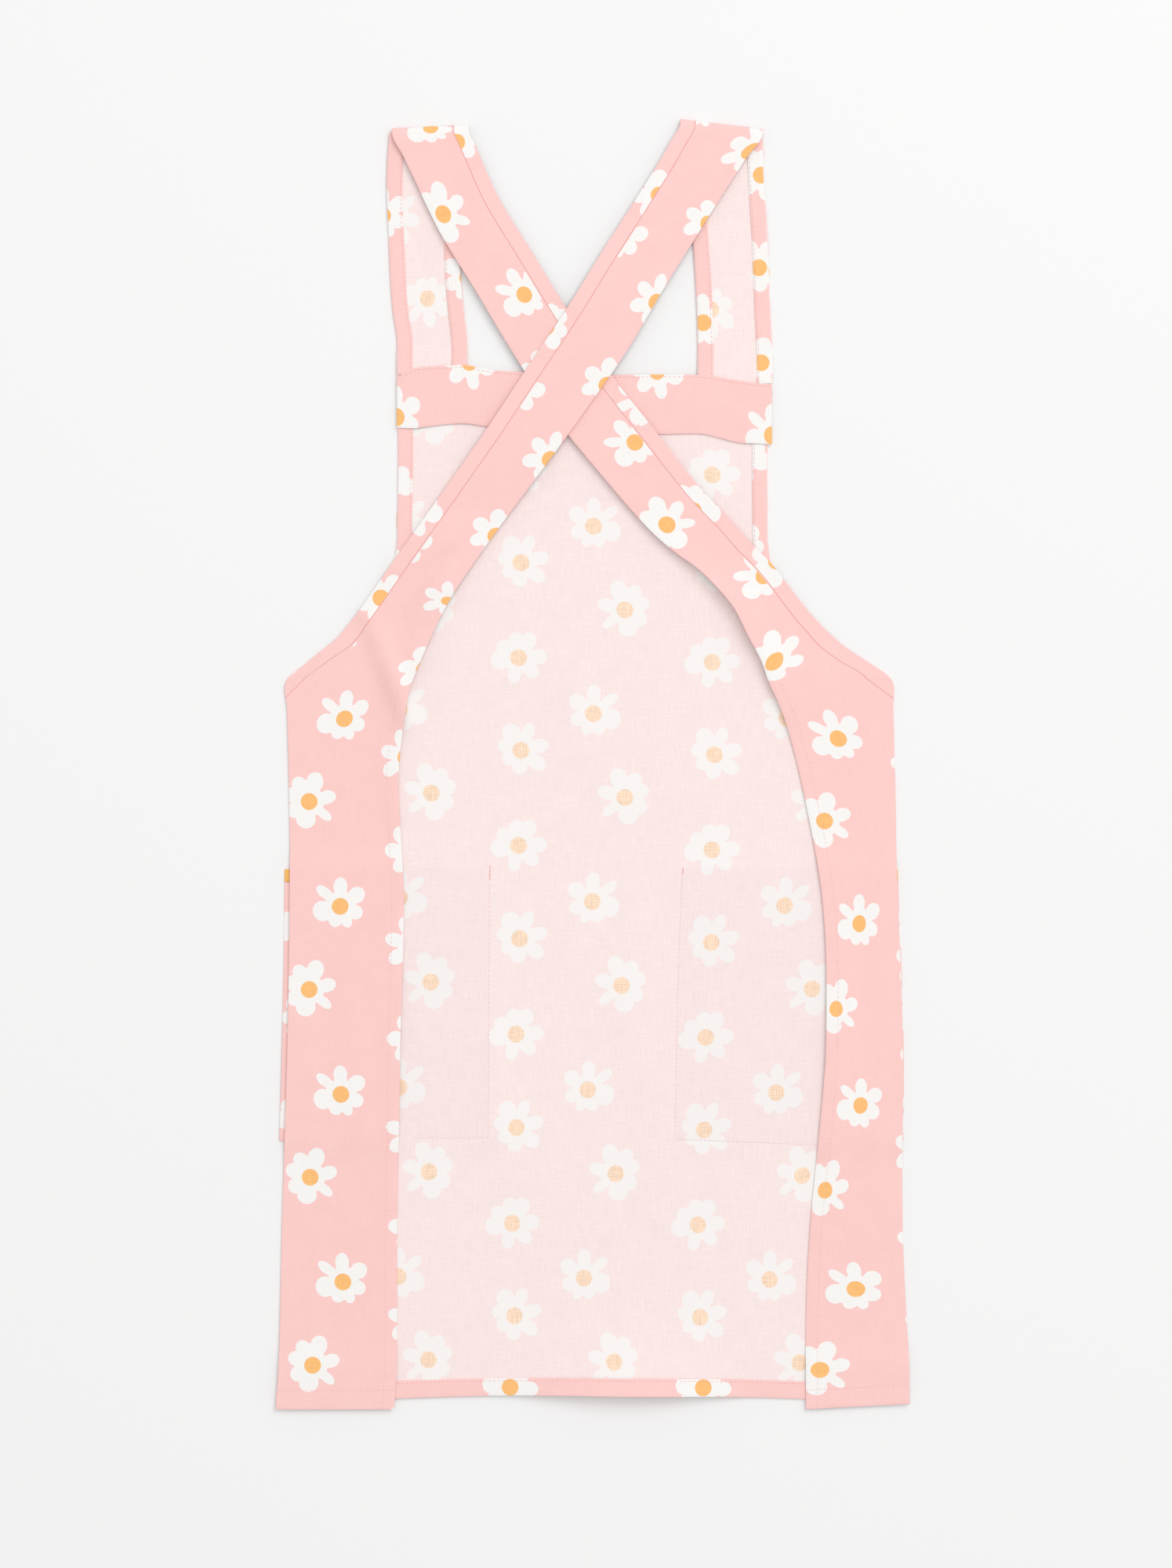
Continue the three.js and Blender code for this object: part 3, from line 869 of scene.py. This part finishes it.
def lifted_edge(side, point, from_back):
    """How far a back panel curls up near its free back edge."""
    return read_table(EDGE_LIFT[side], point.y)[0] * bell(from_back, 0, CURL)


def back_grid(side):
    """Rows of points on a back panel, how far each is along its row and from the armhole's edge."""
    left, right = edges[f"back_panel_{side}"][:2]
    arm, back = (left, right) if side == "left" else (right, left)
    stops = stops_along([left, right], ROW_PITCH)
    ends = [(smooth_point(arm, up), smooth_point(back, up)) for up in stops]
    lengths = [0]
    for (before, _), (here, _) in zip(ends, ends[1:]):
        lengths.append(lengths[-1] + (here - before).length)
    corner = next(index for index, length in enumerate(lengths) if length > SIDE_SEAM - 0.5)
    seam_way = (ends[corner + 6][0] - ends[corner][0]).normalized()

    def slant(index):
        """How much longer a row is across the binding than straight across it."""
        first, last = ends[index]
        way = (ends[min(index + 4, len(ends) - 1)][0] - ends[max(index - 4, corner)][0]).normalized()
        return 1 / max(LEAST_SLANT, way.cross((last - first).normalized()).length)

    rows, distances, from_edges = [], [], []
    for index, (first, last) in enumerate(ends):
        width = (last - first).length
        below = lengths[corner] - lengths[index]
        scale = 1 + NARROWER[side] * clamp(1 - abs(below) / NARROW_RUN)
        longer = slant(index)
        if index <= corner:
            longer = mix(1, slant(corner + 1), clamp(1 - below / SLANT_RUN))
        steps = [column * longer for column in BAND_COLUMNS]
        start = steps[-1]
        steps += [mix(start, width, (step + 1) / BODY_COLUMNS) for step in range(BODY_COLUMNS)]
        row = []
        from_edge = []
        for distance in steps:
            share = distance / width
            point = first.lerp(last, share)
            beside = (point - ends[corner][0]).cross(seam_way).length
            across = distance / longer if below <= 0 else beside
            from_edge.append(across * scale if below < BAND_FOOT else NO_BAND)
            point.z = mix(first.z, last.z, share * share)
            point.z += lifted_edge(side, point, width - distance)
            row.append(point)
        rows.append(row)
        distances.append(steps)
        from_edges.append(from_edge)
    return settle(rows), distances, from_edges, corner


back_grids = {side: back_grid(side) for side in SIDES}
print({side: len(grid[0]) for side, grid in back_grids.items()}, "rows")

# %% [markdown]
# Laid flat, the panel would be one long strip. Each row's height on it is added up from the rows
# below, and a row that lies aslant is set straight.

# %% The back panels laid flat
def unrolled(side, rows, distances):
    """Each point on the flat cloth: in from the back edge, up the cloth, its row's own height."""
    middles = [(row[0] + row[-1]) / 2 for row in rows]
    flat = []
    height = 0
    for index, (row, steps) in enumerate(zip(rows, distances)):
        if index:
            before = rows[index - 1]
            both_edges = (row[0] - before[0]).length + (row[-1] - before[-1]).length
            middle = (middles[index] - middles[index - 1]).length
            height += middle if side == "right" else both_edges / 2
        way = (middles[min(index + 3, len(rows) - 1)] - middles[max(index - 3, 0)]).normalized()
        across = (row[-1] - row[0]).normalized()
        straight, tilt = 1, 0
        if side == "right":
            straight, tilt = way.cross(across).length, across.dot(way)
        width = steps[-1]
        line = []
        for step in steps:
            up = height + (step - width / 2) * tilt
            line.append(((width - step) * straight, up, height))
        flat.append(line)
    return flat


flat_backs = {side: unrolled(side, *grid[:2]) for side, grid in back_grids.items()}
print("flat lengths in mm:", {side: round(flat[-1][0][2], 1) for side, flat in flat_backs.items()})

# %% [markdown]
# Sewn cloth is eased along its length, so a table follows the print up each panel. The binding
# was cut from another part of the cloth, and its daisies are set one by one.

# %% The print on the back panels
# Up each panel, in millimetres from the hem: how far the chart's first daisy is from the back
# edge, where it starts along the cloth, how much the cloth is drawn in across, and how much of it
# is turned under at the back edge, or let out where that is below zero
PRINT_ALONG = {
    "left": [
        (0, 12.5, 99.5, 1, 0), (100, 10.6, 99.6, 1, 0), (172, 8.8, 99.8, 1, 0), (275, 6, 100, 1, 0),
        (335, 9, 100.2, 1, -4), (380, 8, 100.3, 1, -4), (411, 6, 100.3, 1, -2.4), (470, 0.9, 100.3, 1.06, 0),
        (717, 1.6, 100.6, 1.15, 0), (752, 0.6, 88.3, 1.15, 0), (772, 0.6, 88.3, 1.15, 0),
        (776, 5.2, 80.3, 1.1, 0),
    ],
    "right": [
        (0, 65, 96.5, 0.89, 0), (64, 65, 94.2, 0.89, 0), (118, 65.6, 90, 1.16, 0), (166, 65.6, 92.4, 1.16, 0),
        (218, 64.7, 87.8, 1.25, 0), (265, 64.7, 89.1, 1.25, 0), (322, 66.3, 90, 0.98, 0),
        (367, 66.3, 88.4, 0.98, 0), (414, 62.8, 92, 0.98, 0), (472, 64.6, 85.3, 0.98, 0),
        (523, 67, 84.7, 1.02, 0), (569, 67, 84.5, 1.02, 0), (670, 64.9, 83.4, 1.1, 0), (735, 65, 86, 1.1, 0),
        (768, 65, 89.5, 1.1, 0), (790, 62.9, 80.8, 1.1, 0),
    ],
}
UNDER_RUN = 28
# Daisies on the binding: place, kind and turn
BINDING_DAISIES = {
    "left": [((36.4, 311.5), 0, 5), ((-25.3, 239.4), 2, 20), ((-97.2, 138.8), 0, 0), ((-116, 91), 3, 40),
             ((-168, 63), 0, 0)],
    "right": [((-74.4, 340.5), 2, 0), ((-21.5, 236.8), 0, -25), ((28.4, 200.2), 1, 60), ((55.1, 138.8), 0, 0),
              ((100.7, 111.2), 3, 0)],
}


DAISY_LIMIT = 17
UNPRINTED = (0.03, 0.03, 0)
BAND_BLUR = 0.3


def binding_print(side, point):
    """Place on the flat cloth of a point on the binding, and whether a daisy is printed there."""
    for (x, y), kind, turn in BINDING_DAISIES[side]:
        away = Vector((point.x - x, point.y - y))
        if away.length < DAISY_LIMIT:
            away.rotate(Matrix.Rotation(math.radians(-turn), 2))
            start = DAISIES[kind][0]
            return (start[0] + away.x) * MM, (start[1] + away.y) * MM, 1
    return UNPRINTED


def back_uv(side, rows, from_edges, corner):
    """UV maps of a back panel: its place on the flat cloth, and where its binding is."""
    cloth = []
    band = []
    across = 1 if side == "right" else -1
    for index, line in enumerate(flat_backs[side]):
        cloth_line = []
        band_line = []
        for (inwards, up, height), from_edge, point in zip(line, from_edges[index], rows[index]):
            first, start, gather, under = read_table(PRINT_ALONG[side], height)
            turned = under * (1 - clamp(inwards / UNDER_RUN))
            u = (across * inwards * gather - first - turned) * MM
            v, printed = (up - start) * MM, 1
            if from_edge < BAND and index >= corner:
                u, v, printed = binding_print(side, point)
            elif from_edge < BAND + BAND_BLUR:
                printed = 0
            cloth_line.append((u, v))
            band_line.append((from_edge * MM, printed))
        cloth.append(cloth_line)
        band.append(band_line)
    return {"cloth": cloth, "band": band}


backs = {}
for side, (rows, distances, from_edges, corner) in back_grids.items():
    maps = back_uv(side, rows, from_edges, corner)
    grid = rows
    if side == "right":
        grid = [row[::-1] for row in rows]
        maps = {key: [row[::-1] for row in pairs] for key, pairs in maps.items()}
    piece = sheet(f"back_{side}", grid, maps, [BANDED, WRONG_SIDE])
    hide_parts(f"back_panel_{side}")
    backs[side] = (piece, rows)
    print(piece.name, len(rows), "rows of", len(rows[0]))

# %% [markdown]
# ## Facing, hems and pockets
#
# The top of the bib has a facing on the inside, printed side up. The hems are the cloth's own
# edge, turned in twice, so the print shows on them. The pockets are under the front.

# %% Where the small pieces lie in the print
# Where the chart's first daisy lies on each piece in millimetres, which way its cloth is turned
# across and along, and how far its print leans
PLACED = {
    "bib_facing": (-67.7, 220.5, 1.028, 0.92, 0.049),
    "front_hem": (-45.2, -341.4, -1, -1, 0),
    "bib_hem_left": (-112.5, 153.8, 1, 1, 0),
    "bib_hem_right": (82.5, 167.6, 1, 1, 0),
    "strap_hem_left_neck": (-109.4, 296.3, -1, 1, 0),
    "strap_hem_left_arm": (-74.2, 330.4, 1, 1, 0),
    "strap_hem_right_neck": (101.5, 271.6, 1, 1, 0),
    "strap_hem_right_arm": (92.4, 220, 1, 1, 0),
    "pocket_left": (-159, -90.4, -1, 1, 0),
    "pocket_right": (118, -62, -1, 1, 0),
    "pocket_trim_left": (0, 0, 1, 1, 0),
    "pocket_trim_right": (0, 0, 1, 1, 0),
}
print("small pieces:", len(PLACED))

# %% [markdown]
# The strips on the strap ends are drawn out a little, to reach the facing and the fold.

# %% Make the small pieces
PIECE_SIDES = {
    "bib_facing": ([PRINTED, WRONG_SIDE], "printed_cloth"),
    "pocket_trim_left": ([MUSTARD], "mustard_binding"),
    "pocket_trim_right": ([MUSTARD], "mustard_binding"),
}


def placed_uv(rows, x, y, across, along, lean):
    """Places on the flat cloth of a piece whose print starts at a point of its own."""
    return [[(across * (point.x - x) * MM, along * (point.y - y + lean * (point.x - x)) * MM)
             for point in row] for row in rows]


# How far the strips are drawn down to the facing and up into the fold
STRIP_REACH = {
    "strap_hem_left_neck": (3, 0),
    "strap_hem_left_arm": (7.5, 7),
    "strap_hem_right_neck": (3, 0),
    "strap_hem_right_arm": (5, 2),
}
REACH_RUN = 15


def reach(rows, down, up):
    """Draws out the two ends of a strip, by less and less away from them."""
    bottom, top = rows[0][0].y, rows[-1][0].y
    for row in rows:
        for point in row:
            low = clamp((point.y - bottom) / REACH_RUN)
            high = clamp((top - point.y) / REACH_RUN)
            point.y += up * (1 - high) - down * (1 - low)


small = {}
for name, place in PLACED.items():
    rows = flat_grid(name, 2.5)
    reach(rows, *STRIP_REACH.get(name, (0, 0)))
    materials, slot_name = PIECE_SIDES.get(name, ([PRINTED], "printed_cloth"))
    piece = sheet(name + "_cloth", rows, {"cloth": placed_uv(rows, *place)}, materials)
    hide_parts(name)
    small[name] = (piece, rows)
    print(piece.name, len(rows), "rows of", len(rows[0]))

# %% [markdown]
# ## Stitches
#
# A stitch is a thin oval of thread on the cloth, and a row is that oval again every 2.5 mm.

# %% A point for each stitch
def walk_line(points, pitch):
    """Places and directions at even steps along a line of points."""
    left_over = pitch / 2
    for first, second in zip(points, points[1:]):
        step = second - first
        length = step.length
        while left_over <= length and length > 0:
            yield first + step * (left_over / length), step / length
            left_over += pitch
        left_over -= length


def stitch_points(lines, pitch, crosswise):
    """A mesh of loose points, one for each stitch, with the turn of the stitch stored on it."""
    mesh = bmesh.new()
    turn = mesh.verts.layers.float_vector.new("turn")
    for line in lines:
        for place, direction in walk_line(line, pitch):
            if crosswise:
                direction = direction.cross(UP)
            side = direction.cross(UP).normalized()
            up = side.cross(direction).normalized()
            point = mesh.verts.new(place * MM)
            point[turn] = Matrix((side, direction, up)).transposed().to_euler()
    return mesh

# %% [markdown]
# Geometry Nodes puts an oval on each point and turns it along its row. That is quicker than building each
# stitch, and the result is kept as a plain mesh.

# %% Ovals of thread on the points
def stitch_tree(name, size, material):
    """Nodes that put one oval of thread on each point."""
    tree = bpy.data.node_groups.new(name, "GeometryNodeTree")
    tree.interface.new_socket("Geometry", in_out="INPUT", socket_type="NodeSocketGeometry")
    tree.interface.new_socket("Geometry", in_out="OUTPUT", socket_type="NodeSocketGeometry")

    def node(kind, values=None, **settings):
        added = add_node(tree, kind, settings, values)
        return added.outputs[0] if added.outputs else None

    points = node("NodeGroupInput")
    ball = node("GeometryNodeMeshUVSphere", {"Segments": 6, "Rings": 4, "Radius": MM / 2})
    oval = node("GeometryNodeTransform", {"Geometry": ball, "Scale": size})
    smooth = node("GeometryNodeSetShadeSmooth", {"Geometry": oval})
    turn = node("GeometryNodeInputNamedAttribute", {"Name": "turn"}, data_type="FLOAT_VECTOR")
    placed = node("GeometryNodeInstanceOnPoints", {"Points": points, "Instance": smooth, "Rotation": turn})
    real = node("GeometryNodeRealizeInstances", {"Geometry": placed})
    dyed = node("GeometryNodeSetMaterial", {"Geometry": real, "Material": material})
    node("NodeGroupOutput", {"Geometry": dyed})
    return tree


def stitches(name, lines, material, size=(0.3, 1.8, 0.3), pitch=2.5, crosswise=False):
    """One piece with a stitch at every pitch along each line, in millimetres."""
    points = stitch_points(lines, pitch, crosswise)
    count = len(points.verts)
    piece = add_object(name, points)
    maker = piece.modifiers.new("stitches", "NODES")
    maker.node_group = stitch_tree(name, size, material)
    finished = piece.evaluated_get(bpy.context.evaluated_depsgraph_get())
    made = bpy.data.meshes.new_from_object(finished)
    piece.modifiers.clear()
    piece.data = made
    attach(piece, "root")
    print(name, count, "stitches,", len(made.polygons), "faces")
    return piece


def thread(name, colour):
    """Twisted sewing thread."""
    finish = Finish(name, roughness=0.7, specular=0.2)
    place = finish.node("ShaderNodeTexCoord", None, None, "Object")
    grain = finish.node("ShaderNodeTexNoise", None, {"Vector": place, "Scale": 2600})
    finish.feed("Base Color", finish.blend(linen(colour, 0.95), linen(colour, 1.05), grain))
    finish.roughen(grain, 0.4, 0.1)
    return finish.material

# %% [markdown]
# ## Where the stitches go
#
# The facing is stitched along its top, the hems along their inner folds and the flaps beside
# their back edges. The pockets are sewn on from the other side, so their rows also show here,
# with a short red bar tack at each upper corner.

# %% Lines along the pieces
STITCH_LIFT = 0.06
FRONT_STEP = 4


def inset_column(rows, from_left, distance):
    """For each row, the point that lies a distance in from its left or right end."""
    line = []
    for row in rows:
        place = next(walk_line(row if from_left else row[::-1], 2 * distance))[0]
        line.append(place + UP * STITCH_LIFT)
    return line


def inset_row(rows, from_bottom, distance):
    """A line that lies a distance in from the bottom or the top row."""
    return inset_column([list(column) for column in zip(*rows)], from_bottom, distance)


def on_front(corners):
    """A line over the inside of the front, through corners given across and up."""
    line = []
    for (x0, y0), (x1, y1) in zip(corners, corners[1:]):
        steps = max(1, round(math.hypot(x1 - x0, y1 - y0) / FRONT_STEP))
        for step in range(steps + 1):
            x, y = mix(x0, x1, step / steps), mix(y0, y1, step / steps)
            hit = upper["front_panel"].ray_cast(Vector((x, y, ABOVE)) * MM, -UP)[0]
            line.append(Vector((x, y, settled(Vector((x, y, hit.z / MM))) + STITCH_LIFT)))
    return line


hem_lines = [
    inset_row(small["bib_facing"][1], False, 1.3),
    inset_row(small["front_hem"][1], False, 1.2),
]
for side in SIDES:
    hem_lines.append(inset_column(small[f"bib_hem_{side}"][1], side == "right", 1.1))
    for place in ("neck", "arm"):
        from_left = (side == "left") == (place == "neck")
        hem_lines.append(inset_column(small[f"strap_hem_{side}_{place}"][1], from_left, 1))
print("rows along the hems:", len(hem_lines))

# %% [markdown]
# Last, the threads: coral on the hems and flaps, paler on the pockets and red for the bar tacks.

# %% Stitch the hems, the flaps and the pockets
# On the flaps: where the back row ends and how far in it lies, how deep the hem is, and how many
# rows of points hold it
FLAP_TOP = 46
BACK_ROW = 6.5
HEM_DEPTH = 10.5
HEM_ROWS = 12

stitches("hem_stitches", hem_lines, thread("coral_thread", (0.87, 0.5, 0.48)))
flap_lines = []
for piece, rows in backs.values():
    flap = [row for row in rows if row[0].y < FLAP_TOP]
    flap_lines.append(inset_row(flap[:HEM_ROWS], True, HEM_DEPTH))
    flap_lines.append(inset_column(flap, False, BACK_ROW))
stitches("flap_stitches", flap_lines, thread("faint_thread", (0.9, 0.56, 0.54)), (0.26, 1.6, 0.2))
pocket_lines = [
    on_front([(-56.3, -57), (-57.2, -203.6)]),
    on_front([(-99, -204.8), (-57.2, -204.8)]),
    on_front([(49.5, -57.3), (48.6, -72.8), (47.3, -103.3), (46, -144.2), (45.2, -204.4)]),
    on_front([(45.6, -205.3), (123, -208.7)]),
]
stitches("pocket_stitches", pocket_lines, thread("pocket_thread", (0.88, 0.6, 0.6)), (0.3, 1.7, 0.24))
tack_lines = [on_front([(-56.2, -55.5), (-56.4, -63)]), on_front([(49.6, -56.8), (49.4, -60.5)])]
stitches("bar_tacks", tack_lines, thread("red_thread", (0.84, 0.36, 0.34)), (0.3, 1, 0.26), 0.6, True)

# %% [markdown]
# ## Cloth, as it was cut
#
# For each piece of cloth the script prints how large it was when it lay flat and unsewn, measured along the
# cloth, with what is turned in at the hems.

# %% Flat sizes of the cloth
def flat_size(rows):
    """Greatest width and length along the cloth, and its area, in metres."""
    columns = list(zip(*rows))

    def longest(lines):
        return max(sum((b - a).length for a, b in zip(line, line[1:])) for line in lines)

    area = 0
    for low, high in zip(rows, rows[1:]):
        for a, b, c, d in zip(low, low[1:], high[1:], high):
            area += (c - a).cross(d - b).length / 2
    return longest(rows) * MM, longest(columns) * MM, area * MM * MM


def declare(piece, rows, held, rests_on=(), strips=(), added=(0, 0)):
    """Prints the flat size and area of a piece of cloth, with the narrow strips that were cut in one with it.
    """
    width, length, area = flat_size(rows)
    area += sum(flat_size(small[name][1])[2] for name in strips)
    flat = (width + added[0] * MM, length + added[1] * MM)
    list(rests_on)
    [small[name][0] for name in strips]
    print(piece.name, "flat", [round(side, 3) for side in flat], "area", round(area, 4))


declare(front, front_rows, "laid", ["pocket_left_cloth", "pocket_right_cloth"],
        ["front_hem", "bib_hem_left", "bib_hem_right"], (2, 11))
for side, other, below in (("left", "right", ["front", "back_right"]), ("right", "left", ["front"])):
    strips = [f"strap_hem_{other}_{place}" for place in ("neck", "arm")]
    declare(*backs[side], "folded", below, strips, (9, 2))
declare(*small["bib_facing"], "laid", ["front"], (), (2, 2))
for side in SIDES:
    declare(*small[f"pocket_{side}"], "laid", (), [f"pocket_trim_{side}"], (2, 8))

# %% [markdown]
# ## Sizes of both models
#
# The last cell measures how large the dressed model is and prints it. The frame's size was printed when it
# was loaded.

# %% Sizes of both models, and the end
visual_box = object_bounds()
boxes = {"cad": cad_box, "visual": visual_box}
{name: [list(corner) for corner in box] for name, box in boxes.items()}
print("visual box in metres:", visual_box)
